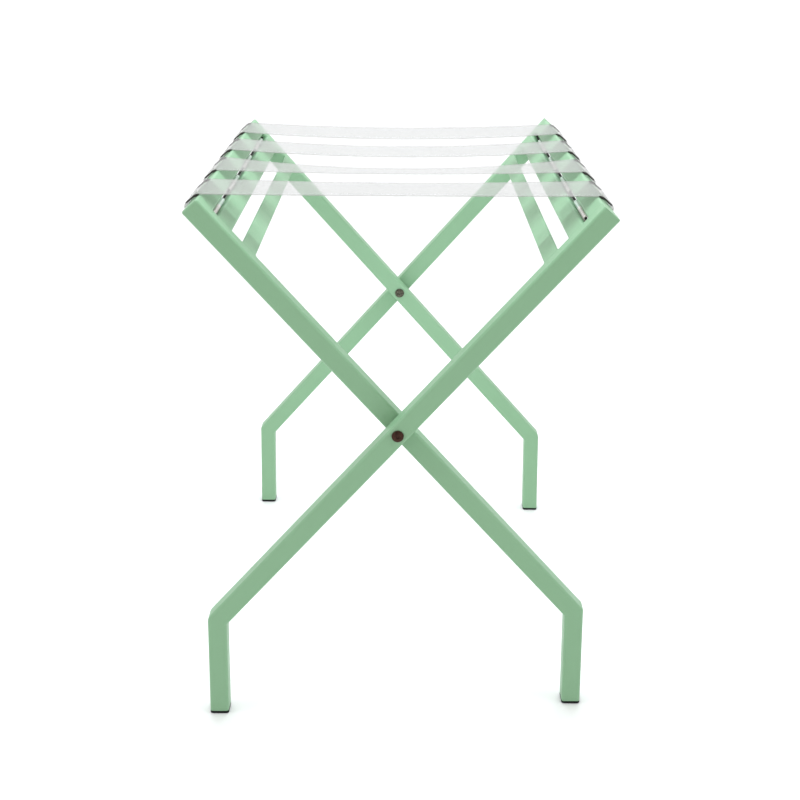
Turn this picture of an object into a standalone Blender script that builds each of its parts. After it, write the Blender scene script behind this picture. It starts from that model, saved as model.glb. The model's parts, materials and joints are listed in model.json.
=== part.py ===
"""Folding luggage rack.

Two welded frames of square steel tube cross like an X and turn on two pivot bolts.
Four flexible straps join the two top rails; they pull tight when the rack is open.
Metres, +Z up. The rails and the pivot axis run along Y, the rack opens along X, and
the origin is on the floor below the middle of the rack.

Each frame is drawn in its own plane: s is the distance from the pivot axis up the leg,
and k is the height above the leg's centre line, towards the upper side of the frame.
"""

import math

import bmesh
import bpy

# ---- Driving dimensions ------------------------------------------------------------
TUBE = 0.020
WALL = 0.0012
CORNER = 0.0030
GAP = 0.0003

LEG_SLOPE = math.radians(48.5)
UPPER = 0.297
LOWER = 0.2834
KNEE_HEIGHT = 0.1127
KNEE_RADIUS = 0.012
FOOT_SPLAY = 0.0024
HALF_DEPTH = 0.270
FRAME_GAP = 0.002

STRAP_SLOT = 0.006
HAND_GAP = 0.0145
STRETCHER_WIDTH = 0.0175
STRETCHER_THICKNESS = 0.003
STRETCHER_CORNER = 0.0008

CAP_FLANGE = 0.0020
CAP_PLUG = 0.014

HEAD_RADIUS = 0.006
HEAD_HEIGHT = 0.003
SHANK_RADIUS = 0.0025
SLEEVE_RADIUS = 0.0038
WASHER_RADIUS = 0.009
SOCKET_RADIUS = 0.0023
CROSS_LENGTH = 0.0062
CROSS_WIDTH = 0.0012
RECESS_DEPTH = 0.0016

STRAP_WIDTH = 0.073
STRAP_THICKNESS = 0.0012
STRAP_PITCH = 0.1207
STRAP_SHIFT = -0.007
STRAP_SAGS = (0.002, 0.007, 0.0075, 0.006)
SPAN_PARTS = 9
STRAP_LIFT = 0.0005
STAND_OFF = 0.002
RIDGE_RADIUS = 0.009
OUTER_RADIUS = 0.005
TAIL_ANGLE = 230

ROD_RADIUS = 0.0012
ROD_LEVEL = 0.0035

CORNER_STEPS = 4
KNEE_STEPS = 8
ROUND_STEPS = 24

# ---- Derived dimensions ------------------------------------------------------------
HALF = TUBE / 2
COS = math.cos(LEG_SLOPE)
SIN = math.sin(LEG_SLOPE)
PIVOT_HEIGHT = KNEE_HEIGHT + LOWER * SIN
FOOT_X = LOWER * COS + FOOT_SPLAY
FOOT_BASE = CAP_FLANGE + GAP
KNEE_BEND = math.pi / 2 - LEG_SLOPE
KNEE_TANGENT = KNEE_RADIUS * math.tan(KNEE_BEND / 2)
SHIN = KNEE_HEIGHT - KNEE_TANGENT - FOOT_BASE
OUTER_LEG_Y = HALF_DEPTH - HALF
INNER_LEG_Y = OUTER_LEG_Y - TUBE - FRAME_GAP
RAIL_S = UPPER - HALF
STRAP_BAR_S = RAIL_S - TUBE - STRAP_SLOT
STRETCHER_S = STRAP_BAR_S - HALF - HAND_GAP - STRETCHER_WIDTH / 2
ROD_S = RAIL_S - HALF - STRAP_SLOT / 2
HOLE_RADIUS = SLEEVE_RADIUS + GAP
STACK = 2 * TUBE + FRAME_GAP + 2 * GAP
STRAP_LEVEL = (
    (UPPER - CORNER) * SIN + (HALF - CORNER) * COS + CORNER + STRAP_LIFT + STRAP_THICKNESS / 2
)

# Each frame: the side that its top rail is on, the distance of its legs from the middle.
FRAMES = {"outer": (1, OUTER_LEG_Y), "inner": (-1, INNER_LEG_Y)}
ENDS = {"front": -1, "back": 1}


# ---- Scene -------------------------------------------------------------------------
for old in list(bpy.data.objects):
    bpy.data.objects.remove(old, do_unlink=True)

rack = bpy.data.collections.new("luggage_rack")
bpy.context.scene.collection.children.link(rack)
cutters = bpy.data.collections.new("cutters")
bpy.context.scene.collection.children.link(cutters)


def material(name, color, roughness, metallic=0.0, alpha=1.0):
    made = bpy.data.materials.new(name)
    made.use_nodes = True
    shader = made.node_tree.nodes["Principled BSDF"]
    shader.inputs["Base Color"].default_value = (*color, 1.0)
    shader.inputs["Roughness"].default_value = roughness
    shader.inputs["Metallic"].default_value = metallic
    shader.inputs["Alpha"].default_value = alpha
    return made


POWDER_COAT = material("mint_powder_coat", (0.28, 0.55, 0.37), 0.45)
RUBBER = material("black_rubber", (0.015, 0.015, 0.016), 0.6)
VINYL = material("frosted_vinyl", (0.80, 0.80, 0.79), 0.35, alpha=0.6)
BLACK_STEEL = material("black_steel", (0.02, 0.02, 0.02), 0.3, metallic=0.6)
BRONZE = material("dark_bronze", (0.06, 0.03, 0.022), 0.35, metallic=0.9)
STEEL = material("zinc_steel", (0.35, 0.34, 0.31), 0.35, metallic=1.0)
NYLON = material("nylon", (0.75, 0.75, 0.72), 0.5)


# ---- Helpers -----------------------------------------------------------------------
def in_frame(side, s, k):
    """(x, z) from the pivot axis of a point in a frame's plane."""
    return side * (s * COS - k * SIN), s * SIN + k * COS


def arc(centre, radius, start, end, steps):
    """Points on a circle, from start to end degrees."""
    turns = [math.radians(start + (end - start) * i / steps) for i in range(steps + 1)]
    return [(centre[0] + radius * math.cos(t), centre[1] + radius * math.sin(t)) for t in turns]


def rounded_rectangle(width, height, radius):
    """Outline of a rectangle with round corners, anticlockwise."""
    outline = []
    for corner, (cx, cy) in enumerate(((1, 1), (-1, 1), (-1, -1), (1, -1))):
        centre = (cx * (width / 2 - radius), cy * (height / 2 - radius))
        outline += arc(centre, radius, 90 * corner, 90 * corner + 90, CORNER_STEPS)
    return outline


def add_object(name, mesh, finish, parent, location=(0, 0, 0), rotation=(0, 0, 0)):
    made = bpy.data.objects.new(name, mesh)
    made.location = location
    made.rotation_euler = rotation
    made.parent = parent
    mesh.materials.append(finish)
    mesh.shade_smooth()
    mesh.set_sharp_from_angle(angle=math.radians(30))
    rack.objects.link(made)
    return made


def mesh_of(bm, name):
    """The bmesh as a mesh with its faces pointing out."""
    bmesh.ops.recalc_face_normals(bm, faces=bm.faces)
    mesh = bpy.data.meshes.new(name)
    bm.to_mesh(mesh)
    bm.free()
    return mesh


def solidify(obj, thickness, offset):
    modifier = obj.modifiers.new("wall", "SOLIDIFY")
    modifier.thickness = thickness
    modifier.offset = offset
    modifier.use_even_offset = True


def cut(obj, cutter):
    cutter.hide_render = True
    cutter.display_type = "WIRE"
    modifier = obj.modifiers.new("cut", "BOOLEAN")
    modifier.operation = "DIFFERENCE"
    modifier.object = cutter


def loop_edges(bm, points):
    """A closed loop of edges through the points."""
    verts = [bm.verts.new(p) for p in points]
    return [bm.edges.new((v, verts[(i + 1) % len(verts)])) for i, v in enumerate(verts)]


def extrude_edges(bm, edges, move):
    """Draws a wall from the edges along a straight move, and returns its far edges."""
    made = bmesh.ops.extrude_edge_only(bm, edges=edges)["geom"]
    verts = [g for g in made if isinstance(g, bmesh.types.BMVert)]
    bmesh.ops.translate(bm, verts=verts, vec=move)
    far = set(verts)
    return [
        g for g in made if isinstance(g, bmesh.types.BMEdge) and g.verts[0] in far and g.verts[1] in far
    ]


def cylinder(name, radius, length, location, rotation, collection):
    """A cylinder along its own Z."""
    bm = bmesh.new()
    bmesh.ops.create_cone(
        bm, cap_ends=True, segments=ROUND_STEPS, radius1=radius, radius2=radius, depth=length
    )
    made = bpy.data.objects.new(name, mesh_of(bm, name))
    made.location = location
    made.rotation_euler = rotation
    collection.objects.link(made)
    return made


def turned(name, profile, finish, parent, location, rotation):
    """A solid turned about its own Z from (radius, height) points, outer side going down."""
    bm = bmesh.new()
    verts = [bm.verts.new((r, 0, z)) for r, z in profile]
    for a, b in zip(verts, verts[1:]):
        bm.edges.new((a, b))
    if profile[0][0] > 0:
        bm.edges.new((verts[-1], verts[0]))
    mesh = bpy.data.meshes.new(name)
    bm.to_mesh(mesh)
    bm.free()
    made = add_object(name, mesh, finish, parent, location, rotation)
    screw = made.modifiers.new("turn", "SCREW")
    screw.steps = ROUND_STEPS
    screw.render_steps = ROUND_STEPS
    screw.use_merge_vertices = True
    screw.merge_threshold = 0.00001
    screw.use_smooth_shade = True
    return made


# ---- Frames ------------------------------------------------------------------------
def leg_mesh(name, side):
    """A tube from the foot up to the knee, round the knee and on past the pivot, closed on top."""
    bm = bmesh.new()
    bottom = FOOT_BASE - PIVOT_HEIGHT
    outline = [(x - side * FOOT_X, y, bottom) for x, y in rounded_rectangle(TUBE, TUBE, CORNER)]
    edges = extrude_edges(bm, loop_edges(bm, outline), (side * FOOT_SPLAY, 0, SHIN))
    bent = bmesh.ops.spin(
        bm,
        geom=edges,
        cent=(side * (KNEE_RADIUS - LOWER * COS), 0, bottom + SHIN),
        axis=(0, 1, 0),
        angle=side * KNEE_BEND,
        steps=KNEE_STEPS,
    )["geom_last"]
    edges = [g for g in bent if isinstance(g, bmesh.types.BMEdge)]
    straight = LOWER + UPPER - KNEE_TANGENT
    edges = extrude_edges(bm, edges, (side * straight * COS, 0, straight * SIN))
    bmesh.ops.edgeloop_fill(bm, edges=edges)
    return mesh_of(bm, name)


def add_leg(frame, end, parent):
    side, leg_y = FRAMES[frame]
    name = f"leg_{frame}_{end}"
    y = ENDS[end] * leg_y
    leg = add_object(name, leg_mesh(name, side), POWDER_COAT, parent, (0, y, 0))
    solidify(leg, WALL, -1)
    drill = cylinder(
        f"pivot_hole_{frame}_{end}",
        HOLE_RADIUS,
        1.5 * TUBE,
        (0, y, PIVOT_HEIGHT),
        (math.pi / 2, 0, 0),
        cutters,
    )
    cut(leg, drill)


def add_bar(name, frame, s, parent):
    """A tube along Y between the frame's two legs."""
    side, leg_y = FRAMES[frame]
    length = 2 * (leg_y - HALF - GAP)
    bm = bmesh.new()
    outline = [(x, -length / 2, z) for x, z in rounded_rectangle(TUBE, TUBE, CORNER)]
    extrude_edges(bm, loop_edges(bm, outline), (0, length, 0))
    x, z = in_frame(side, s, 0)
    bar = add_object(
        name, mesh_of(bm, name), POWDER_COAT, parent, (x, 0, z), (0, -side * LEG_SLOPE, 0)
    )
    solidify(bar, WALL, -1)


def add_flat_bar(name, frame, s, parent):
    """A strip along Y between the frame's two legs, level with their upper side."""
    side, leg_y = FRAMES[frame]
    length = 2 * (leg_y - HALF - GAP)
    bm = bmesh.new()
    section = rounded_rectangle(STRETCHER_WIDTH, STRETCHER_THICKNESS, STRETCHER_CORNER)
    edges = loop_edges(bm, [(x, -length / 2, z) for x, z in section])
    bmesh.ops.edgeloop_fill(bm, edges=edges)
    edges = extrude_edges(bm, edges, (0, length, 0))
    bmesh.ops.edgeloop_fill(bm, edges=edges)
    x, z = in_frame(side, s, HALF - STRETCHER_THICKNESS / 2)
    add_object(name, mesh_of(bm, name), POWDER_COAT, parent, (x, 0, z), (0, -side * LEG_SLOPE, 0))


def add_rod(frame, parent):
    side, leg_y = FRAMES[frame]
    x, z = in_frame(side, ROD_S, ROD_LEVEL)
    length = 2 * (leg_y - HALF - GAP)
    rod = cylinder(f"strap_rod_{frame}", ROD_RADIUS, length, (x, 0, z), (math.pi / 2, 0, 0), rack)
    rod.parent = parent
    rod.data.materials.append(BLACK_STEEL)
    rod.data.shade_smooth()
    rod.data.set_sharp_from_angle(angle=math.radians(30))


def add_foot_cap(frame, end, parent):
    """A flange under the tube and a plug that goes up inside it."""
    side, leg_y = FRAMES[frame]
    name = f"foot_cap_{frame}_{end}"
    bm = bmesh.new()
    edges = loop_edges(bm, [(x, y, 0) for x, y in rounded_rectangle(TUBE, TUBE, CORNER)])
    edges = extrude_edges(bm, edges, (0, 0, CAP_FLANGE))
    flange_top = bmesh.ops.edgeloop_fill(bm, edges=edges)["faces"]
    bmesh.ops.inset_region(bm, faces=flange_top, thickness=WALL + GAP, use_even_offset=True)
    plug = bmesh.ops.extrude_face_region(bm, geom=flange_top)["geom"]
    bmesh.ops.translate(
        bm,
        verts=[g for g in plug if isinstance(g, bmesh.types.BMVert)],
        vec=(side * FOOT_SPLAY * CAP_PLUG / SHIN, 0, CAP_PLUG),
    )
    bmesh.ops.delete(bm, geom=flange_top, context="FACES_ONLY")
    bmesh.ops.holes_fill(bm, edges=bm.edges)
    location = (-side * FOOT_X, ENDS[end] * leg_y, -PIVOT_HEIGHT)
    add_object(name, mesh_of(bm, name), RUBBER, parent, location)


# ---- Pivots ------------------------------------------------------------------------
def dome():
    """Profile of a domed screw head, from the axis on top out to its rim."""
    rim = 0.4 * HEAD_HEIGHT
    points = arc((0, 0), 1, 90, 0, 5)
    return [(HEAD_RADIUS * x, rim + (HEAD_HEIGHT - rim) * y) for x, y in points]


def cross_outline():
    """The twelve corners of a cross, made from one arm turned by quarters."""
    half = CROSS_WIDTH / 2
    arm = [(CROSS_LENGTH / 2, -half), (CROSS_LENGTH / 2, half), (half, half)]
    outline = []
    for _ in range(4):
        outline += arm
        arm = [(-y, x) for x, y in arm]
    return outline


def recess(head, name, outline):
    """Cuts the outline into the top of a screw head; the cutter shares the head's placing."""
    bm = bmesh.new()
    floor = HEAD_HEIGHT - RECESS_DEPTH
    edges = loop_edges(bm, [(x, y, floor) for x, y in outline])
    bmesh.ops.edgeloop_fill(bm, edges=edges)
    edges = extrude_edges(bm, edges, (0, 0, 2 * RECESS_DEPTH))
    bmesh.ops.edgeloop_fill(bm, edges=edges)
    cutter = bpy.data.objects.new(name, mesh_of(bm, name))
    cutter.location = head.location
    cutter.rotation_euler = head.rotation_euler
    cutter.parent = head.parent
    cutters.objects.link(cutter)
    cut(head, cutter)


def add_pivot(end, parent):
    """The bolt comes in from outside, and its sleeve nut from inside."""
    sign = ENDS[end]
    outwards = (-sign * math.pi / 2, 0, 0)
    inwards = (sign * math.pi / 2, 0, 0)
    outer_face = sign * (HALF_DEPTH + GAP)
    inner_face = sign * (INNER_LEG_Y - HALF - GAP)
    shank = STACK - 3 * GAP

    head = dome()
    bolt_profile = [*head, (HEAD_RADIUS, 0), (SHANK_RADIUS, 0), (SHANK_RADIUS, -shank), (0, -shank)]
    bolt = turned(f"pivot_bolt_{end}", bolt_profile, BRONZE, parent, (0, outer_face, 0), outwards)
    recess(bolt, f"bolt_socket_{end}", arc((0, 0), SOCKET_RADIUS, 0, 300, 5))

    sleeve = STACK - GAP
    nut_profile = [
        *head,
        (HEAD_RADIUS, 0),
        (SLEEVE_RADIUS, 0),
        (SLEEVE_RADIUS, -sleeve),
        (SHANK_RADIUS + GAP, -sleeve),
        (SHANK_RADIUS + GAP, 0),
        (0, 0),
    ]
    nut = turned(f"pivot_nut_{end}", nut_profile, STEEL, parent, (0, inner_face, 0), inwards)
    recess(nut, f"nut_cross_{end}", cross_outline())

    half = FRAME_GAP / 2 - GAP
    ring = [
        (HOLE_RADIUS, half),
        (WASHER_RADIUS, half),
        (WASHER_RADIUS, -half),
        (HOLE_RADIUS, -half),
    ]
    middle = sign * (HALF_DEPTH - TUBE - FRAME_GAP / 2)
    turned(f"spacer_washer_{end}", ring, NYLON, parent, (0, middle, 0), outwards)


# ---- Straps ------------------------------------------------------------------------
def wrap_path():
    """(s, k) points of a strap end: over the rail, round it, up the slot and round the rod."""
    level = math.degrees(math.pi / 2 - LEG_SLOPE)
    half = STRAP_THICKNESS / 2
    ridge_s = UPPER + STAND_OFF + half - RIDGE_RADIUS
    ridge_k = (STRAP_LEVEL - RIDGE_RADIUS - ridge_s * SIN) / COS
    inner_radius = CORNER + GAP + half
    inner = (UPPER - TUBE + CORNER, -HALF + CORNER)
    under = inner[1] - inner_radius
    outer = (UPPER + STAND_OFF + half - OUTER_RADIUS, under + OUTER_RADIUS)
    loop_radius = ROD_RADIUS + GAP + half
    return [
        *arc((ridge_s, ridge_k), RIDGE_RADIUS, level, 0, 6),
        *arc(outer, OUTER_RADIUS, 0, -90, 6),
        *arc(inner, inner_radius, -90, -180, 5),
        *arc((ROD_S, ROD_LEVEL), loop_radius, 0, TAIL_ANGLE, 12),
    ]


def add_ribbon(name, points, y, parent):
    """A strip of strap along (x, z) points, as wide as the strap."""
    bm = bmesh.new()
    rows = [[bm.verts.new((x, dy, z)) for dy in (-STRAP_WIDTH / 2, STRAP_WIDTH / 2)] for x, z in points]
    for (a, b), (c, d) in zip(rows, rows[1:]):
        bm.faces.new((a, b, d, c))
    ribbon = add_object(name, mesh_of(bm, name), VINYL, parent, (0, y, 0))
    solidify(ribbon, STRAP_THICKNESS, 0)


def add_strap(number, parents):
    y = STRAP_SHIFT + (number - 2.5) * STRAP_PITCH
    path = wrap_path()
    for frame, (side, _) in FRAMES.items():
        points = [in_frame(side, s, k) for s, k in path]
        add_ribbon(f"strap_{number}_wrap_{frame}", points, y, parents[frame])
    reach = in_frame(1, *path[0])[0] - GAP
    sag = STRAP_SAGS[number - 1]
    steps = [-1 + 2 * i / SPAN_PARTS for i in range(SPAN_PARTS + 1)]
    span = [(reach * t, STRAP_LEVEL - sag * (1 - t * t)) for t in steps]
    add_ribbon(f"strap_{number}_span", span, y, parents["outer"])


# ---- Assembly ----------------------------------------------------------------------
frames = {}
for frame in FRAMES:
    hinge = bpy.data.objects.new(f"{frame}_frame_on_pivot_axis", None)
    hinge.location = (0, 0, PIVOT_HEIGHT)
    rack.objects.link(hinge)
    frames[frame] = hinge
    for end in ENDS:
        add_leg(frame, end, hinge)
        add_foot_cap(frame, end, hinge)
    add_bar(f"top_rail_{frame}", frame, RAIL_S, hinge)
    add_bar(f"strap_bar_{frame}", frame, STRAP_BAR_S, hinge)
    add_flat_bar(f"stretcher_{frame}", frame, STRETCHER_S, hinge)
    add_rod(frame, hinge)

for end in ENDS:
    add_pivot(end, frames["outer"])

for number in range(1, len(STRAP_SAGS) + 1):
    add_strap(number, frames)
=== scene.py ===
"""Looks of the folding luggage rack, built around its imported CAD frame.

The two frames are drawn in their own planes, as in the CAD: s is the distance from the
pivot axis up the leg, and k the height above the leg's centre line, towards the frame's
upper side. side is 1 for the outer frame, whose top rail is at +X, and -1 for the inner.
"""

import json
import math

import bmesh
import bpy
from mathutils import Matrix, Vector

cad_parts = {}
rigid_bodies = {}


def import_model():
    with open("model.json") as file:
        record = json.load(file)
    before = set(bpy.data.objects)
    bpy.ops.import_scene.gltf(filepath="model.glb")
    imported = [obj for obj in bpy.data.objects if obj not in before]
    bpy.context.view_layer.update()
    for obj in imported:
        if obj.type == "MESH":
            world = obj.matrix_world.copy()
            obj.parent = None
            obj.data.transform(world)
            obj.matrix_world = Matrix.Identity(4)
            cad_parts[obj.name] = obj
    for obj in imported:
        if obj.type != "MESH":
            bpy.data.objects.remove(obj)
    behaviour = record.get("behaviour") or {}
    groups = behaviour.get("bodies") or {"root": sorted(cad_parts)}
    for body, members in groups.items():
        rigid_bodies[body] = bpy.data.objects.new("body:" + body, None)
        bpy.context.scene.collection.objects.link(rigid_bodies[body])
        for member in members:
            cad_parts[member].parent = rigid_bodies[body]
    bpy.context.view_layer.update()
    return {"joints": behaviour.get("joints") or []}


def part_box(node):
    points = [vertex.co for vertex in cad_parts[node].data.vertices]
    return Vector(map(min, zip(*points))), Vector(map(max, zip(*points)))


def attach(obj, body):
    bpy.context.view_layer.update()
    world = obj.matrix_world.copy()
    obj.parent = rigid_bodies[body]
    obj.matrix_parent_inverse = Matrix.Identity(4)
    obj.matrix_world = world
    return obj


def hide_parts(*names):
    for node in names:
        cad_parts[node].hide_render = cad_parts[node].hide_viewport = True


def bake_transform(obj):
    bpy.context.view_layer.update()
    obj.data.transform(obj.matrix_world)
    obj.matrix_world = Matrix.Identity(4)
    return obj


for startup_object in list(bpy.data.objects):
    bpy.data.objects.remove(startup_object, do_unlink=True)

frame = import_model()


# ---- Sizes that the frame doesn't say ----------------------------------------------
WALL = 0.0012
TUBE_CORNER = 0.0030
FOOT_SPLAY = 0.0024
# A knee's bend along the middle of its tube, and how round the outside of each knee is.
KNEE_RADIUS = 0.0105
KNEE_ROUNDING = {
    "leg_outer_front": 0.0130,
    "leg_inner_front": 0.0040,
    "leg_outer_back": 0.0085,
    "leg_inner_back": 0.0120,
}
END_ROUNDING = {"outer": 0.0008, "inner": 0.0020}
WELD_FILLET = 0.0014
WELD_DEPTH = 0.0020
WELD_GROOVE = 0.00014
HOLE_RADIUS = 0.0041

STRETCHER_WIDTH = 0.0175
STRETCHER_THICKNESS = 0.003
STRETCHER_CORNER = 0.0008

CAP_FLANGE = 0.0030
CAP_EDGE = 0.0006
CAP_SOFTENING = 0.0002
CAP_GAP = 0.0001
CAP_RIBS = 4
PLUG_INSET = 0.0015
PLUG_CORNER = 0.0006
RIB_DEPTH = 0.0003

HEAD_RIM = 0.0012
HEAD_EDGE = 0.0003
SHANK_RADIUS = 0.0025
SLEEVE_RADIUS = 0.0038
THREAD_GAP = 0.0002
THREAD_EDGE = 0.0004
BOLT_TIP = 0.0006
WASHER_EDGE = 0.0003
# How much the washer is thickened on each side, to close most of the CAD's gap.
WASHER_EXTRA = 0.0002
SOCKET_RADIUS = 0.0023
SOCKET_DEPTH = 0.0016
CROSS_LENGTH = 0.0062
CROSS_WIDTH = 0.0013

STRAP_WIDTH = 0.073
STRAP_THICKNESS = 0.0012
STRAP_EDGE = 0.4 * STRAP_THICKNESS
# Reach, from a strap's near edge, of the painted highlight on its loops round the rods.
LOOP_HIGHLIGHT_WIDTH = 0.045
STAND_OFF = 0.002
RIDGE_RADIUS = 0.009
OUTER_RADIUS = 0.005
INNER_RADIUS = 0.0034
# How far a strap's edges thicken inwards at a bend, so that the painted shade of the gap under the
# bend shows as a crescent.
SHADE_BEAD = 0.0016
ROD_RADIUS = 0.0012
ROD_LEVEL = 0.0035
ROD_GAP = 0.0003
TAIL_ANGLE = 230

# How far the near and the far edge of each strap hang below a straight line.
STRAP_SAGS = ((0.0005, 0.0030), (0.0030, 0.0115), (0.0070, 0.0080), (0.0070, 0.0050))

CORNER_STEPS = 7
ROUNDING_STEPS = 6
KNEE_STEPS = 40
ROUND_STEPS = 64
SPAN_STEPS = 48
ACROSS_STEPS = 10
RIDGE_STEPS = 14
OUTER_STEPS = 10
INNER_STEPS = 8
TAIL_STEPS = 20
# Sections of a strap, from its ridge down, along which its edges are beaded and carry the painted
# shade of the gap under the bend.
PAINTED_SHADE_STEPS = 16

SMOOTH_LIMIT = math.radians(38)
FLOOR_DROP = 0.0003
DAYLIGHT = (0.93, 1.0, 1.07)


# ---- Places read from the frame ----------------------------------------------------
def middle(node):
    low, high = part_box(node)
    return (low + high) / 2


PIVOT = Vector(frame["joints"][0]["pos_m"])
RAIL = middle("top_rail_outer") - PIVOT
SLOPE = math.atan2(RAIL.z, RAIL.x)
RAIL_S = math.hypot(RAIL.x, RAIL.z)
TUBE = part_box("leg_outer_front")[1].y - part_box("leg_outer_front")[0].y
HALF = TUBE / 2
LEG_END = RAIL_S + HALF
FOOT_X = abs(middle("foot_cap_outer_front").x)
KNEE_X = FOOT_X - FOOT_SPLAY
KNEE_BEND = math.pi / 2 - SLOPE
SHIN_BASE = max(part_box("leg_outer_front")[0].z, CAP_FLANGE + CAP_GAP)
SHIN_TOP = PIVOT.z - KNEE_X * math.tan(SLOPE) - KNEE_RADIUS * math.tan(KNEE_BEND / 2)
SIDES = {"outer": 1, "inner": -1}
ENDS = {"front": -1, "back": 1}


# ---- Geometry helpers --------------------------------------------------------------
def in_frame(side, s, k):
    """Point of the scene, at y = 0, for (s, k) in a frame's plane."""
    x = side * (s * math.cos(SLOPE) - k * math.sin(SLOPE))
    return Vector((x, 0, PIVOT.z + s * math.sin(SLOPE) + k * math.cos(SLOPE)))


def placing(side, x, y, z, angle):
    """Matrix of a section of tube in the X-Z plane, whose local Z runs along the tube."""
    along = Vector((side * math.cos(angle), 0, math.sin(angle)))
    upper = Vector((-side * math.sin(angle), 0, math.cos(angle)))
    sideways = upper.cross(along)
    matrix = Matrix((sideways, upper, along)).transposed().to_4x4()
    matrix.translation = Vector((side * x, y, z))
    return matrix


def crosswise(x, y, z):
    """Matrix at a point, whose local Z runs along Y."""
    return Matrix.Translation((x, y, z)) @ Matrix.Rotation(math.pi / 2, 4, "X")


def rounded_rectangle(width, height, radius):
    """(point, outward normal) pairs round a rectangle with round corners, anticlockwise."""
    pairs = []
    for corner, (cx, cy) in enumerate(((1, 1), (-1, 1), (-1, -1), (1, -1))):
        centre = Vector((cx * (width / 2 - radius), cy * (height / 2 - radius)))
        for step in range(CORNER_STEPS + 1):
            turn = math.radians(90 * corner + 90 * step / CORNER_STEPS)
            normal = Vector((math.cos(turn), math.sin(turn)))
            pairs.append((centre + radius * normal, normal))
    return pairs


def add_ring(bm, points):
    return [bm.verts.new(p) for p in points]


def skin(bm, rings):
    """Quads between each ring of vertices and the next."""
    for a, b in zip(rings, rings[1:]):
        for i in range(len(a)):
            j = (i + 1) % len(a)
            bm.faces.new((a[i], a[j], b[j], b[i]))


def cylinder(radius, length, place, segments):
    bm = bmesh.new()
    bmesh.ops.create_cone(
        bm,
        cap_ends=True,
        segments=segments,
        radius1=radius,
        radius2=radius,
        depth=length,
        matrix=place,
    )
    return bm


def finished(name, bm, body, materials, slot, *nodes):
    """The piece made from the bmesh in place of its CAD nodes, riding on its body if it has one."""
    bmesh.ops.recalc_face_normals(bm, faces=bm.faces)
    mesh = bpy.data.meshes.new(name)
    bm.to_mesh(mesh)
    bm.free()
    for material in materials:
        mesh.materials.append(material)
    mesh.shade_smooth()
    mesh.set_sharp_from_angle(angle=SMOOTH_LIMIT)
    piece = bpy.data.objects.new(name, mesh)
    bpy.context.scene.collection.objects.link(piece)
    if body:
        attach(piece, body)
    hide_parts(*nodes)
    return piece


def even_shading(piece):
    """Keeps flat faces flat beside rounded edges."""
    weighted = piece.modifiers.new("even_shading", "WEIGHTED_NORMAL")
    weighted.keep_sharp = True
    weighted.weight = 100


def drilled(piece, cutter_bm, name):
    """Cuts the bmesh's shape out of the piece for good."""
    bmesh.ops.recalc_face_normals(cutter_bm, faces=cutter_bm.faces)
    mesh = bpy.data.meshes.new(name)
    cutter_bm.to_mesh(mesh)
    cutter_bm.free()
    cutter = bpy.data.objects.new(name, mesh)
    bpy.context.scene.collection.objects.link(cutter)
    cut = piece.modifiers.new("cut", "BOOLEAN")
    cut.object = cutter
    bpy.context.view_layer.update()
    evaluated = piece.evaluated_get(bpy.context.evaluated_depsgraph_get())
    result = bpy.data.meshes.new_from_object(evaluated)
    piece.modifiers.remove(cut)
    bpy.data.objects.remove(cutter)
    piece.data = result
    result.shade_smooth()
    result.set_sharp_from_angle(angle=SMOOTH_LIMIT)


# ---- Materials ---------------------------------------------------------------------
def new_material(name, roughness, metallic=0.0):
    """A new material, its node tree and its shader."""
    material = bpy.data.materials.new(name)
    material.use_nodes = True
    shader = material.node_tree.nodes["Principled BSDF"]
    shader.inputs["Roughness"].default_value = roughness
    shader.inputs["Metallic"].default_value = metallic
    return material, material.node_tree, shader


def noise(tree, scale, detail, stretch=(1, 1, 1)):
    """Noise in the object's own coordinates, in features per metre."""
    place = tree.nodes.new("ShaderNodeTexCoord")
    mapping = tree.nodes.new("ShaderNodeMapping")
    mapping.inputs["Scale"].default_value = stretch
    texture = tree.nodes.new("ShaderNodeTexNoise")
    texture.inputs["Scale"].default_value = scale
    texture.inputs["Detail"].default_value = detail
    tree.links.new(place.outputs["Object"], mapping.inputs["Vector"])
    tree.links.new(mapping.outputs["Vector"], texture.inputs["Vector"])
    return texture.outputs["Fac"]


def ramp(tree, value, stops):
    """Colours or greys picked by a value, from (position, colour) stops."""
    made = tree.nodes.new("ShaderNodeValToRGB")
    elements = made.color_ramp.elements
    while len(elements) < len(stops):
        elements.new(0.5)
    for element, (position, color) in zip(elements, stops):
        element.position = position
        element.color = (*color, 1.0)
    tree.links.new(value, made.inputs["Fac"])
    return made.outputs["Color"]


def vary(tree, socket, value, low, high):
    """Feeds a socket from one colour, where the value is low, to another, where it is high."""
    tree.links.new(ramp(tree, value, [(0.3, low), (0.7, high)]), socket)


def half_and_half(tree, a, b):
    made = tree.nodes.new("ShaderNodeMix")
    made.data_type = "RGBA"
    made.inputs["Factor"].default_value = 0.5
    tree.links.new(a, made.inputs["A"])
    tree.links.new(b, made.inputs["B"])
    return made.outputs["Result"]


def grey(value):
    return (value, value, value)


def bump(tree, shader, *layers):
    """Stacks (height, strength, distance) bumps on the shader."""
    previous = None
    for height, strength, distance in layers:
        made = tree.nodes.new("ShaderNodeBump")
        made.inputs["Strength"].default_value = strength
        made.inputs["Distance"].default_value = distance
        tree.links.new(height, made.inputs["Height"])
        if previous:
            tree.links.new(previous, made.inputs["Normal"])
        previous = made.outputs["Normal"]
    tree.links.new(previous, shader.inputs["Normal"])


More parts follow.
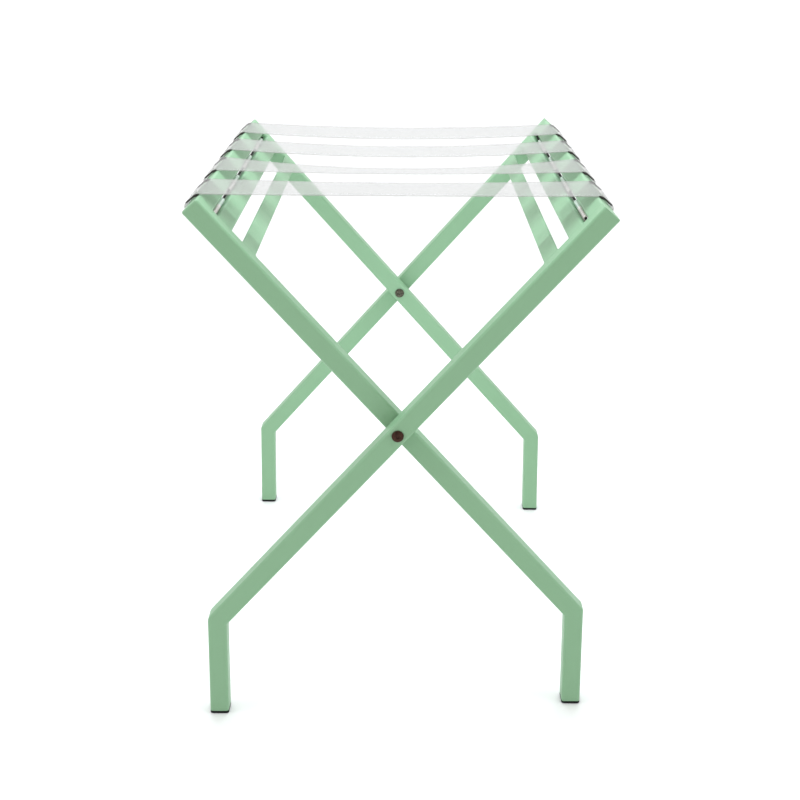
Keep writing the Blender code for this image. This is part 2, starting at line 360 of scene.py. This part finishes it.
def powder_coat():
    """Satin mint powder coat: orange peel, and a slow drift in colour and gloss."""
    material, tree, shader = new_material("mint_powder_coat", 0.42)
    shader.inputs["Specular IOR Level"].default_value = 0.25
    mint = (0.235, 0.413, 0.250)
    drift = ramp(tree, noise(tree, 9, 2), [(0.3, (0.225, 0.396, 0.240)), (0.7, mint)])
    speckle_stops = [(0.3, (0.212, 0.376, 0.227)), (0.45, (0.230, 0.404, 0.245)), (1.0, mint)]
    speckle = ramp(tree, noise(tree, 2600, 1), speckle_stops)
    tree.links.new(half_and_half(tree, drift, speckle), shader.inputs["Base Color"])
    vary(tree, shader.inputs["Roughness"], noise(tree, 60, 3), grey(0.36), grey(0.44))
    peel = (noise(tree, 700, 2), 0.35, 0.0004)
    grain = (noise(tree, 2200, 1), 0.25, 0.00015)
    bump(tree, shader, peel, grain)
    return material


def cap_rubber():
    material, tree, shader = new_material("black_rubber", 0.6)
    shader.inputs["Specular IOR Level"].default_value = 0.15
    tones = [(0.3, (0.006, 0.006, 0.007)), (0.75, (0.014, 0.014, 0.015))]
    tree.links.new(ramp(tree, noise(tree, 180, 4), tones), shader.inputs["Base Color"])
    vary(tree, shader.inputs["Roughness"], noise(tree, 420, 3), grey(0.52), grey(0.72))
    bump(tree, shader, (noise(tree, 1500, 3), 0.4, 0.0002))
    return material


def rod_steel():
    """Black wire with faint drawing marks along it."""
    material, tree, shader = new_material("black_steel", 0.55)
    shader.inputs["Specular IOR Level"].default_value = 0.12
    mottle = noise(tree, 300, 3, (1, 0.05, 1))
    vary(tree, shader.inputs["Base Color"], mottle, grey(0.003), grey(0.008))
    bump(tree, shader, (noise(tree, 900, 2, (1, 0.04, 1)), 0.3, 0.0001))
    return material


def plated(name, dark, light, roughness, metallic):
    """Plated steel, mottled and slightly brushed."""
    material, tree, shader = new_material(name, roughness, metallic)
    vary(tree, shader.inputs["Base Color"], noise(tree, 500, 4), dark, light)
    smooth, rough = grey(roughness - 0.06), grey(roughness + 0.08)
    vary(tree, shader.inputs["Roughness"], noise(tree, 900, 3), smooth, rough)
    bump(tree, shader, (noise(tree, 2400, 2, (0.2, 1, 1)), 0.25, 0.00008))
    return material


def nylon():
    material, tree, shader = new_material("nylon", 0.5)
    dark, light = (0.70, 0.70, 0.66), (0.78, 0.78, 0.75)
    vary(tree, shader.inputs["Base Color"], noise(tree, 400, 2), dark, light)
    bump(tree, shader, (noise(tree, 1800, 2), 0.2, 0.0001))
    return material


def strap_vinyl(name, alpha, tint):
    """Frosted, see-through vinyl with a fine grain and faint streaks along the strap."""
    material, tree, shader = new_material(name, 0.34)
    shader.inputs["Alpha"].default_value = alpha
    streaks = noise(tree, 90, 3, (0.06, 1, 1))
    vary(tree, shader.inputs["Base Color"], streaks, [0.985 * c for c in tint], tint)
    vary(tree, shader.inputs["Roughness"], noise(tree, 240, 3), grey(0.30), grey(0.42))
    grain = (noise(tree, 1600, 2), 0.12, 0.0001)
    drawing = (noise(tree, 120, 2, (0.1, 1, 1)), 0.05, 0.0002)
    bump(tree, shader, grain, drawing)
    return material


def painted_bend_shade_material():
    """Painted shade: near-black on the cut edge of a strap where it bends, standing in for the
    shadow in the gap between the strap and the rail.
    """
    material, tree, shader = new_material("strap_bent_edge", 0.4)
    dark, light = (0.012, 0.010, 0.009), (0.030, 0.024, 0.020)
    vary(tree, shader.inputs["Base Color"], noise(tree, 300, 2), dark, light)
    return material


POWDER = powder_coat()
RUBBER = cap_rubber()
ROD = rod_steel()
BRONZE = plated("dark_bronze", (0.030, 0.014, 0.010), (0.065, 0.030, 0.020), 0.32, 0.85)
ZINC = plated("dull_zinc", (0.035, 0.032, 0.022), (0.13, 0.125, 0.095), 0.36, 0.95)
NYLON = nylon()
VINYL = strap_vinyl("frosted_vinyl", 0.41, (0.375, 0.366, 0.352))
# Loops round the rods: two layers of vinyl, lightened and tinted green with painted light bounced
# off the frame.
DOUBLED_WITH_BOUNCE = strap_vinyl("doubled_vinyl_painted_bounce", 0.85, (0.80, 0.92, 0.83))
# Painted highlight: opaque pale pink-white on the near part of each loop, standing in for the lit
# loop seen in the slot.
LOOP_HIGHLIGHT = strap_vinyl("painted_loop_highlight", 1.0, (0.86, 0.78, 0.76))
# Painted shade for the strap edges where they bend over the rails.
BEND_SHADE = painted_bend_shade_material()
STRAP_MATERIALS = [VINYL, BEND_SHADE, DOUBLED_WITH_BOUNCE, LOOP_HIGHLIGHT]


# ---- Tubes -------------------------------------------------------------------------
def knee_stretch(turn, rounding):
    """How many times further out than a plain bend the outside of a knee lies, at a turn of it.

    The rays start at the bend's centre. They end on the two straight sides, or between them
    on a tighter rounding.
    """
    reach = KNEE_RADIUS + HALF
    half = KNEE_BEND / 2
    off = min(turn, KNEE_BEND - turn)
    if off < math.atan((reach - rounding) * math.tan(half) / reach):
        return 1 / math.cos(off)
    centre = (reach - rounding) / math.cos(half)
    across = centre * math.sin(turn - half)
    return (centre * math.cos(turn - half) + math.sqrt(rounding**2 - across**2)) / reach


def leg_stations(node, side, y, last_s):
    """Sections of a leg from its foot, round the knee, to last_s from the pivot."""
    stations = [placing(side, -FOOT_X, y, SHIN_BASE, math.pi / 2)]
    centre = Matrix.Translation((0, -KNEE_RADIUS, 0))
    for step in range(KNEE_STEPS + 1):
        turn = KNEE_BEND * step / KNEE_STEPS
        x = -KNEE_X + KNEE_RADIUS * (1 - math.cos(turn))
        z = SHIN_TOP + KNEE_RADIUS * math.sin(turn)
        stretch = Matrix.Diagonal((1, knee_stretch(turn, KNEE_ROUNDING[node]), 1, 1))
        place = placing(side, x, y, z, math.pi / 2 - turn)
        stations.append(place @ centre @ stretch @ centre.inverted())
    end = in_frame(1, last_s, 0)
    stations.append(placing(side, end.x, y, end.z, SLOPE))
    return stations


def section(bm, place, width, radius):
    pairs = rounded_rectangle(width, width, radius)
    return add_ring(bm, [place @ p.to_3d() for p, _ in pairs])


def add_leg(frame_name, end):
    """A hollow bent tube, closed and rounded at the top, open at the foot."""
    node = f"leg_{frame_name}_{end}"
    side = SIDES[frame_name]
    y = middle(node).y
    rounding = END_ROUNDING[frame_name]
    bm = bmesh.new()
    stations = leg_stations(node, side, y, LEG_END - rounding)
    outside = [section(bm, place, TUBE, TUBE_CORNER) for place in stations]
    for step in range(1, ROUNDING_STEPS + 1):
        turn = math.radians(90 * step / ROUNDING_STEPS)
        shrink = rounding * (1 - math.cos(turn))
        place = stations[-1] @ Matrix.Translation((0, 0, rounding * math.sin(turn)))
        outside.append(section(bm, place, TUBE - 2 * shrink, TUBE_CORNER - shrink))
    stations = leg_stations(node, side, y, LEG_END - 2 * WALL)
    inside = [section(bm, place, TUBE - 2 * WALL, TUBE_CORNER - WALL) for place in stations]
    skin(bm, outside)
    skin(bm, inside)
    skin(bm, [outside[0], inside[0]])
    bm.faces.new(outside[-1])
    bm.faces.new(inside[-1])
    leg = finished(f"{node}_coated", bm, f"frame_{frame_name}", [POWDER], "powder_coat", node)
    drill = cylinder(HOLE_RADIUS, 1.5 * TUBE, crosswise(0, y, PIVOT.z), ROUND_STEPS)
    drilled(leg, drill, f"{node}_drill")
    even_shading(leg)


def bar_stations(frame_name):
    """(y, flare, dip) along a bar whose ends run into the legs over a smooth weld."""
    leg_face = abs(middle(f"leg_{frame_name}_back").y) - HALF
    half = []
    for step in range(ROUNDING_STEPS + 1):
        turn = math.radians(90 * step / ROUNDING_STEPS)
        flare = WELD_FILLET * (1 - math.cos(turn))
        half.append((leg_face - WELD_FILLET * (1 - math.sin(turn)), flare, 0.0))
    half.append((leg_face + 0.3 * WELD_DEPTH, WELD_FILLET, 0.3 * WELD_GROOVE))
    half.append((leg_face + WELD_DEPTH, WELD_FILLET, WELD_GROOVE))
    return [(-y, flare, dip) for y, flare, dip in reversed(half)] + half


def bar_ring(bm, frame_name, centre, station, section_size, welds):
    """A bar's cross-section. welds is 1 or 0 for its low side and for its high side."""
    side = SIDES[frame_name]
    along = Vector((side * math.cos(SLOPE), 0, math.sin(SLOPE)))
    upper = Vector((-side * math.sin(SLOPE), 0, math.cos(SLOPE)))
    y, flare, dip = station
    low_weld, high_weld = welds
    points = []
    for p, normal in rounded_rectangle(*section_size):
        swell = high_weld * max(normal.x, 0) + low_weld * min(normal.x, 0)
        s = p.x + flare * swell
        k = p.y - dip * normal.y
        points.append(Vector((centre.x, y, centre.z)) + s * along + k * upper)
    return add_ring(bm, points)


def add_bar(bar, frame_name, welds):
    """A hollow bar between the legs. Its ends flare out on the sides that welds picks."""
    node = f"{bar}_{frame_name}"
    centre = middle(node)
    stations = bar_stations(frame_name)
    outer_size = (TUBE, TUBE, TUBE_CORNER)
    inner_size = (TUBE - 2 * WALL, TUBE - 2 * WALL, TUBE_CORNER - WALL)
    bm = bmesh.new()
    outside = [bar_ring(bm, frame_name, centre, st, outer_size, welds) for st in stations]
    ends = [(y, 0, 0) for y, _, _ in (stations[0], stations[-1])]
    inside = [bar_ring(bm, frame_name, centre, st, inner_size, welds) for st in ends]
    skin(bm, outside)
    skin(bm, inside)
    skin(bm, [outside[0], inside[0]])
    skin(bm, [outside[-1], inside[-1]])
    body = f"frame_{frame_name}"
    even_shading(finished(f"{node}_coated", bm, body, [POWDER], "powder_coat", node))


def add_stretcher(frame_name):
    """A flat strip between the legs, level with their upper side."""
    node = f"stretcher_{frame_name}"
    centre = middle(node)
    size = (STRETCHER_WIDTH, STRETCHER_THICKNESS, STRETCHER_CORNER)
    bm = bmesh.new()
    stations = bar_stations(frame_name)
    rings = [bar_ring(bm, frame_name, centre, st, size, (1, 1)) for st in stations]
    skin(bm, rings)
    bm.faces.new(rings[0])
    bm.faces.new(rings[-1])
    body = f"frame_{frame_name}"
    even_shading(finished(f"{node}_coated", bm, body, [POWDER], "powder_coat", node))


def add_rod(frame_name):
    """The wire in the slot, its ends let into the legs."""
    node = f"strap_rod_{frame_name}"
    centre = middle(node)
    reach = abs(middle(f"leg_{frame_name}_back").y) - HALF + WALL / 2
    bm = cylinder(ROD_RADIUS, 2 * reach, crosswise(centre.x, 0, centre.z), ROUND_STEPS // 2)
    finished(f"{node}_black", bm, f"frame_{frame_name}", [ROD], "rod_steel", node)


def cap_levels(top):
    """(height, inset) up a foot cap: rounded lower edge, flange, then a plug with ribs."""
    edge = ((0, 1), (0.1, 0.55), (0.45, 0.15), (1, 0))
    levels = [(CAP_EDGE * height, CAP_EDGE * inset) for height, inset in edge]
    levels += [(CAP_FLANGE - CAP_SOFTENING, 0), (CAP_FLANGE, CAP_SOFTENING)]
    levels.append((CAP_FLANGE, PLUG_INSET))
    pitch = (top - CAP_FLANGE) / CAP_RIBS
    for rib in range(CAP_RIBS):
        for share, depth in ((0.2, RIB_DEPTH), (0.5, 0), (0.7, 0), (0.8, RIB_DEPTH)):
            levels.append((CAP_FLANGE + pitch * (rib + share), PLUG_INSET + depth))
    levels.append((top, PLUG_INSET + 3 * RIB_DEPTH))
    return levels


def add_foot_cap(frame_name, end):
    """A rubber cap whose plug leans with the shin that it fills."""
    node = f"foot_cap_{frame_name}_{end}"
    centre = middle(node)
    bm = bmesh.new()
    rings = []
    for z, inset in cap_levels(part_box(node)[1].z):
        lean = FOOT_SPLAY * max(z - SHIN_BASE, 0) / (SHIN_TOP - SHIN_BASE)
        place = Matrix.Translation((centre.x + SIDES[frame_name] * lean, centre.y, z))
        corner = max(TUBE_CORNER - inset, PLUG_CORNER)
        rings.append(section(bm, place, TUBE - 2 * inset, corner))
    skin(bm, rings)
    bm.faces.new(rings[0])
    bm.faces.new(rings[-1])
    cap = finished(f"{node}_rubber", bm, f"frame_{frame_name}", [RUBBER], "cap_rubber", node)
    even_shading(cap)


# ---- Pivots ------------------------------------------------------------------------
def lathe(bm, profile, place):
    """Turns (radius, height) points about the placing's local Z; radius 0 closes an end."""
    rings = []
    for radius, height in profile:
        turns = [2 * math.pi * i / ROUND_STEPS for i in range(ROUND_STEPS)]
        if radius == 0:
            rings.append([bm.verts.new(place @ Vector((0, 0, height)))])
            continue
        points = [Vector((radius * math.cos(t), radius * math.sin(t), height)) for t in turns]
        rings.append(add_ring(bm, [place @ p for p in points]))
    for a, b in zip(rings, rings[1:]):
        if len(a) == len(b):
            skin(bm, [a, b])
            continue
        tip, rim = (a[0], b) if len(a) == 1 else (b[0], a)
        for i, vert in enumerate(rim):
            bm.faces.new((tip, vert, rim[(i + 1) % len(rim)]))
    return rings


def head_profile(radius, height):
    """A domed head from its top out to a rounded rim and in to its flat underside."""
    dome = [math.radians(90 - 75 * i / 10) for i in range(11)]
    points = [(radius * math.cos(t), HEAD_RIM + (height - HEAD_RIM) * math.sin(t)) for t in dome]
    points[0] = (0, height)
    for turn in (30, 60, 90):
        t = math.radians(turn)
        rim = radius - HEAD_EDGE * (1 - math.sin(t))
        points.append((rim, HEAD_RIM - HEAD_EDGE + HEAD_EDGE * math.cos(t)))
    points += [(radius, HEAD_EDGE), (radius - HEAD_EDGE, 0)]
    return points


def hex_socket(height, place):
    """Six-sided hole with a cone at its floor."""
    bm = bmesh.new()
    turns = [math.radians(60 * i + 15) for i in range(6)]
    corners = [Vector((math.cos(t), math.sin(t), 0)) * SOCKET_RADIUS for t in turns]
    rings = []
    for z in (height - SOCKET_DEPTH, height + SOCKET_DEPTH):
        rings.append(add_ring(bm, [place @ (c + Vector((0, 0, z))) for c in corners]))
    tip = bm.verts.new(place @ Vector((0, 0, height - 1.35 * SOCKET_DEPTH)))
    skin(bm, rings)
    bm.faces.new(rings[1])
    for i in range(6):
        bm.faces.new((tip, rings[0][i], rings[0][(i + 1) % 6]))
    return bm


def cross_recess(height, place):
    """Cross-shaped hole, narrower at its floor."""
    bm = bmesh.new()
    rings = []
    for z, shrink in ((height - SOCKET_DEPTH, 0.55), (height + 0.2 * SOCKET_DEPTH, 1.05)):
        half = CROSS_WIDTH / 2 * (0.7 + 0.3 * shrink)
        reach = CROSS_LENGTH / 2 * shrink
        arm = [(reach, -half), (reach, half), (half, half)]
        outline = []
        for _ in range(4):
            outline += arm
            arm = [(-b, a) for a, b in arm]
        rings.append(add_ring(bm, [place @ Vector((a, b, z)) for a, b in outline]))
    skin(bm, rings)
    bm.faces.new(rings[0])
    bm.faces.new(rings[1])
    return bm


def on_axis(end, distance, facing):
    """Matrix on the pivot axis towards an end. Its local Z points outwards if facing is 1."""
    turn = Matrix.Rotation(-ENDS[end] * facing * math.pi / 2, 4, "X")
    return Matrix.Translation((0, ENDS[end] * distance, PIVOT.z)) @ turn


def add_bolt(end):
    """Bolt from outside, its head on the outer leg."""
    node = f"pivot_bolt_{end}"
    face = abs(middle(f"leg_outer_{end}").y) + HALF
    low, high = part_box(node)
    height = max(abs(low.y), abs(high.y)) - face
    length = face - min(abs(low.y), abs(high.y))
    profile = head_profile((high.x - low.x) / 2, height)
    profile += [(SHANK_RADIUS + THREAD_EDGE, 0), (SHANK_RADIUS, -THREAD_EDGE)]
    profile += [(SHANK_RADIUS, BOLT_TIP - length), (SHANK_RADIUS - BOLT_TIP, -length)]
    profile.append((0, -length))
    place = on_axis(end, face, 1)
    bm = bmesh.new()
    lathe(bm, profile, place)
    bolt = finished(f"{node}_bronze", bm, "frame_outer", [BRONZE], "bolt_bronze", node)
    drilled(bolt, hex_socket(height, place), f"{node}_socket")


def add_nut(end):
    """Sleeve nut from inside, its head on the inner leg and its sleeve round the bolt."""
    node = f"pivot_nut_{end}"
    face = abs(middle(f"leg_inner_{end}").y) - HALF
    low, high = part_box(node)
    height = face - min(abs(low.y), abs(high.y))
    length = max(abs(low.y), abs(high.y)) - face
    bore = SHANK_RADIUS + THREAD_GAP
    profile = head_profile((high.x - low.x) / 2, height)
    profile += [(SLEEVE_RADIUS + THREAD_EDGE, 0), (SLEEVE_RADIUS, -THREAD_EDGE)]
    profile += [(SLEEVE_RADIUS, THREAD_EDGE - length), (SLEEVE_RADIUS - THREAD_EDGE, -length)]
    profile += [(bore + THREAD_EDGE, -length), (bore, THREAD_EDGE - length)]
    profile += [(bore, -THREAD_GAP), (0, -THREAD_GAP)]
    place = on_axis(end, face, -1)
    bm = bmesh.new()
    lathe(bm, profile, place)
    nut = finished(f"{node}_zinc", bm, "frame_outer", [ZINC], "nut_steel", node)
    drilled(nut, cross_recess(height, place), f"{node}_recess")


def add_washer(end):
    """Washer round the sleeve, between the two legs."""
    node = f"spacer_washer_{end}"
    low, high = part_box(node)
    radius = (high.x - low.x) / 2
    half = (high.y - low.y) / 2 + WASHER_EXTRA
    profile = [(HOLE_RADIUS, half - WASHER_EDGE), (HOLE_RADIUS + WASHER_EDGE, half)]
    profile += [(radius - WASHER_EDGE, half), (radius, half - WASHER_EDGE)]
    profile += [(r, -h) for r, h in reversed(profile)]
    profile.append(profile[0])
    bm = bmesh.new()
    rings = lathe(bm, profile, on_axis(end, abs(middle(node).y), 1))
    for a, b in zip(rings[0], rings[-1]):
        bmesh.ops.pointmerge(bm, verts=[a, b], merge_co=a.co.copy())
    finished(f"{node}_nylon", bm, "frame_outer", [NYLON], "washer_nylon", node)


# ---- Straps ------------------------------------------------------------------------
def arc(centre, radius, start, end, steps):
    """Points on a circle in (s, k), from start to end degrees."""
    turns = [math.radians(start + (end - start) * i / steps) for i in range(steps + 1)]
    return [(centre[0] + radius * math.cos(t), centre[1] + radius * math.sin(t)) for t in turns]


def wrap_path(lean):
    """(s, k) points of a strap's middle layer from its ridge to its tail round the rod.

    lean is the slope in degrees at which the span comes up to the ridge.
    """
    level = math.degrees(math.pi / 2 - SLOPE)
    half = STRAP_THICKNESS / 2
    ridge_s = LEG_END + STAND_OFF + half - RIDGE_RADIUS
    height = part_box("strap_1_wrap_outer")[1].z - PIVOT.z - half - RIDGE_RADIUS
    ridge_k = (height - ridge_s * math.sin(SLOPE)) / math.cos(SLOPE)
    inner_s = RAIL_S - HALF + TUBE_CORNER
    under = -HALF + TUBE_CORNER - INNER_RADIUS
    rod = middle("strap_rod_outer") - PIVOT
    rod_s = rod.x * math.cos(SLOPE) + rod.z * math.sin(SLOPE)
    outer = (LEG_END + STAND_OFF + half - OUTER_RADIUS, under + OUTER_RADIUS)
    return [
        *arc((ridge_s, ridge_k), RIDGE_RADIUS, level + lean, 0, RIDGE_STEPS),
        *arc(outer, OUTER_RADIUS, 0, -90, OUTER_STEPS),
        *arc((inner_s, -HALF + TUBE_CORNER), INNER_RADIUS, -90, -180, INNER_STEPS),
        *arc((rod_s, ROD_LEVEL), ROD_RADIUS + ROD_GAP + half, 0, TAIL_ANGLE, TAIL_STEPS),
    ]


def strap_line(sag):
    """Points (x, 0, z) of one lengthwise line of a strap, from its outer to its inner tail."""
    reach = in_frame(1, *wrap_path(0)[0])
    lean = math.degrees(math.atan(2 * sag / reach.x))
    wrap = [in_frame(1, s, k) for s, k in wrap_path(lean)]
    top = wrap[0]
    span = []
    for step in range(1, SPAN_STEPS):
        t = 1 - 2 * step / SPAN_STEPS
        span.append(Vector((top.x * t, 0, top.z - sag * (1 - t * t))))
    mirrored = [Vector((-p.x, 0, p.z)) for p in wrap]
    return list(reversed(wrap)) + span + mirrored


def strap_outline():
    """(a, n) points round a strap's section: a across it, n from -1 inside to 1 outside."""
    flat = [-1 + 2 * i / ACROSS_STEPS for i in range(ACROSS_STEPS + 1)]
    across = [(a * (STRAP_WIDTH / 2 - STRAP_EDGE), 1.0) for a in flat]
    shoulder = STRAP_WIDTH / 2 - 0.25 * STRAP_EDGE
    rim = [(shoulder, 0.6), (STRAP_WIDTH / 2, 0.0), (shoulder, -0.6)]
    return across + rim + [(a, -1.0) for a, _ in reversed(across)] + [(-a, -n) for a, n in rim]


def strap_ring(bm, lines, outline, i, y_middle):
    """The i-th section of a strap, with a bead inside its two edges where it bends, which carries
    the painted shade of the gap under the bend.
    """
    last = len(lines[0.0]) - 1
    from_dark = min(i, last - i) - (len(wrap_path(0)) - 1 - PAINTED_SHADE_STEPS)
    share = min(max(from_dark / PAINTED_SHADE_STEPS, 0), 1)
    bead = SHADE_BEAD * math.sin(math.pi * share)
    points = []
    for a, n in outline:
        line = lines[a]
        ahead = line[min(i + 1, last)] - line[max(i - 1, 0)]
        normal = Vector((ahead.z, 0, -ahead.x)).normalized()
        beaded = n < 0 and abs(a) > STRAP_WIDTH / 2 - 1.5 * STRAP_EDGE
        height = n * STRAP_THICKNESS / 2 - (bead if beaded else 0)
        points.append(line[i] + Vector((0, y_middle + a, 0)) + height * normal)
    return add_ring(bm, points)


def paint_strap(bm, rings, y_middle):
    """Gives the bent edges and the loops round the rods their own materials: painted shade on the
    bent edges, a painted highlight on the near part of each loop, and doubled vinyl with painted
    green bounce light on the rest.
    """
    bend = in_frame(1, *wrap_path(0)[0])
    dark_end = in_frame(1, *wrap_path(0)[PAINTED_SHADE_STEPS])
    for face in bm.faces:
        place = face.calc_center_median()
        on_rim = abs(abs(place.y - y_middle) - STRAP_WIDTH / 2) < 0.8 * STRAP_EDGE
        # Rim faces down the bend get the painted shade.
        if on_rim and abs(place.x) > bend.x and place.z > dark_end.z:
            face.material_index = STRAP_MATERIALS.index(BEND_SHADE)
    for ring in rings[:TAIL_STEPS] + rings[-TAIL_STEPS:]:
        for face in {face for vert in ring for face in vert.link_faces}:
            from_front = face.calc_center_median().y - y_middle + STRAP_WIDTH / 2
            # Painted highlight on the near part of each loop, painted green bounce light on the
            # rest.
            loop = LOOP_HIGHLIGHT if from_front < LOOP_HIGHLIGHT_WIDTH else DOUBLED_WITH_BOUNCE
            face.material_index = STRAP_MATERIALS.index(loop)


def add_strap(number):
    """One closed band: a loft of thin, round-edged sections along its lengthwise lines."""
    node = f"strap_{number}_span"
    y_middle = middle(node).y
    near, far = STRAP_SAGS[number - 1]
    outline = strap_outline()
    lines = {}
    for a, _ in outline:
        share = a / STRAP_WIDTH + 0.5
        lines[a] = strap_line(near + (far - near) * share)
    centre_line = lines[0.0]
    bm = bmesh.new()
    rings = [strap_ring(bm, lines, outline, i, y_middle) for i in range(len(centre_line))]
    skin(bm, rings)
    bm.faces.new(rings[0])
    bm.faces.new(rings[-1])
    paint_strap(bm, rings, y_middle)
    nodes = [node] + [f"strap_{number}_wrap_{frame_name}" for frame_name in SIDES]
    strap = finished(f"strap_{number}", bm, None, STRAP_MATERIALS, "strap_vinyl", *nodes)
    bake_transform(strap)


for frame_name in SIDES:
    for end in ENDS:
        add_leg(frame_name, end)
        add_foot_cap(frame_name, end)
    add_bar("top_rail", frame_name, (1, 0))
    add_bar("strap_bar", frame_name, (1, 1))
    add_stretcher(frame_name)
    add_rod(frame_name)
for end in ENDS:
    add_bolt(end)
    add_nut(end)
    add_washer(end)
for number in range(1, len(STRAP_SAGS) + 1):
    add_strap(number)


# ---- Stage -------------------------------------------------------------------------
def add_floor():
    bm = bmesh.new()
    bmesh.ops.create_grid(bm, x_segments=1, y_segments=1, size=60)
    mesh = bpy.data.meshes.new("floor")
    bm.to_mesh(mesh)
    bm.free()
    floor = bpy.data.objects.new("floor", mesh)
    floor.location.z = -FLOOR_DROP
    bpy.context.scene.collection.objects.link(floor)
    material, tree, shader = new_material("pale_floor", 0.8)
    vary(tree, shader.inputs["Base Color"], noise(tree, 2, 2), grey(0.93), grey(0.95))
    mesh.materials.append(material)


def add_light(kind, name, place, target, size, power):
    """A soft light: size is an angle in degrees on a SUN, and a width on an AREA light."""
    data = bpy.data.lights.new(name, kind)
    data.color = DAYLIGHT
    if kind == "SUN":
        data.angle = math.radians(size)
    else:
        data.size = size
    data.energy = power
    light = bpy.data.objects.new(name, data)
    light.location = place
    light.rotation_euler = (Vector(target) - Vector(place)).to_track_quat("-Z", "Y").to_euler()
    bpy.context.scene.collection.objects.link(light)


def add_world():
    """A pale surround that is grey overhead."""
    world = bpy.data.worlds.new("studio")
    world.use_nodes = True
    tree = world.node_tree
    direction = tree.nodes.new("ShaderNodeTexCoord")
    split = tree.nodes.new("ShaderNodeSeparateXYZ")
    tree.links.new(direction.outputs["Generated"], split.inputs["Vector"])
    stops = [(0.14, (1.04, 1.02, 1.0)), (0.26, (0.645, 0.62, 0.585))]
    glow = ramp(tree, split.outputs["Z"], stops)
    tree.links.new(glow, tree.nodes["Background"].inputs["Color"])
    bpy.context.scene.world = world
    bpy.context.scene.view_settings.view_transform = "Standard"


def add_camera():
    data = bpy.data.cameras.new("camera")
    data.lens = 56.07
    camera = bpy.data.objects.new("camera", data)
    camera.location = (0.0036, -1.3974, 0.8015)
    camera.rotation_euler = [math.radians(turn) for turn in (68.752, -0.3, 0.195)]
    bpy.context.scene.collection.objects.link(camera)
    bpy.context.scene.camera = camera


add_floor()
add_world()
add_light("SUN", "overhead", (0.05, 0.05, 1), (0, 0, 0), 60, 0.75)
add_light("SUN", "rear", (0, 1, 0.9), (0, 0, 0), 50, 0.8)
add_light("SUN", "left_strip", (-0.88, -0.244, 0.41), (0, 0, 0), 20, 0.6)
add_light("SUN", "right_strip", (0.88, -0.244, 0.41), (0, 0, 0), 20, 0.6)
add_light("AREA", "softbox", (0, 0.05, 1.25), (0, 0.05, 0), 0.7, 6)
add_light("AREA", "fill", (0, -0.2, 0.3), (0, 0.2, 0.28), 0.5, 0.67)
bpy.data.objects["fill"].visible_camera = False
add_camera()
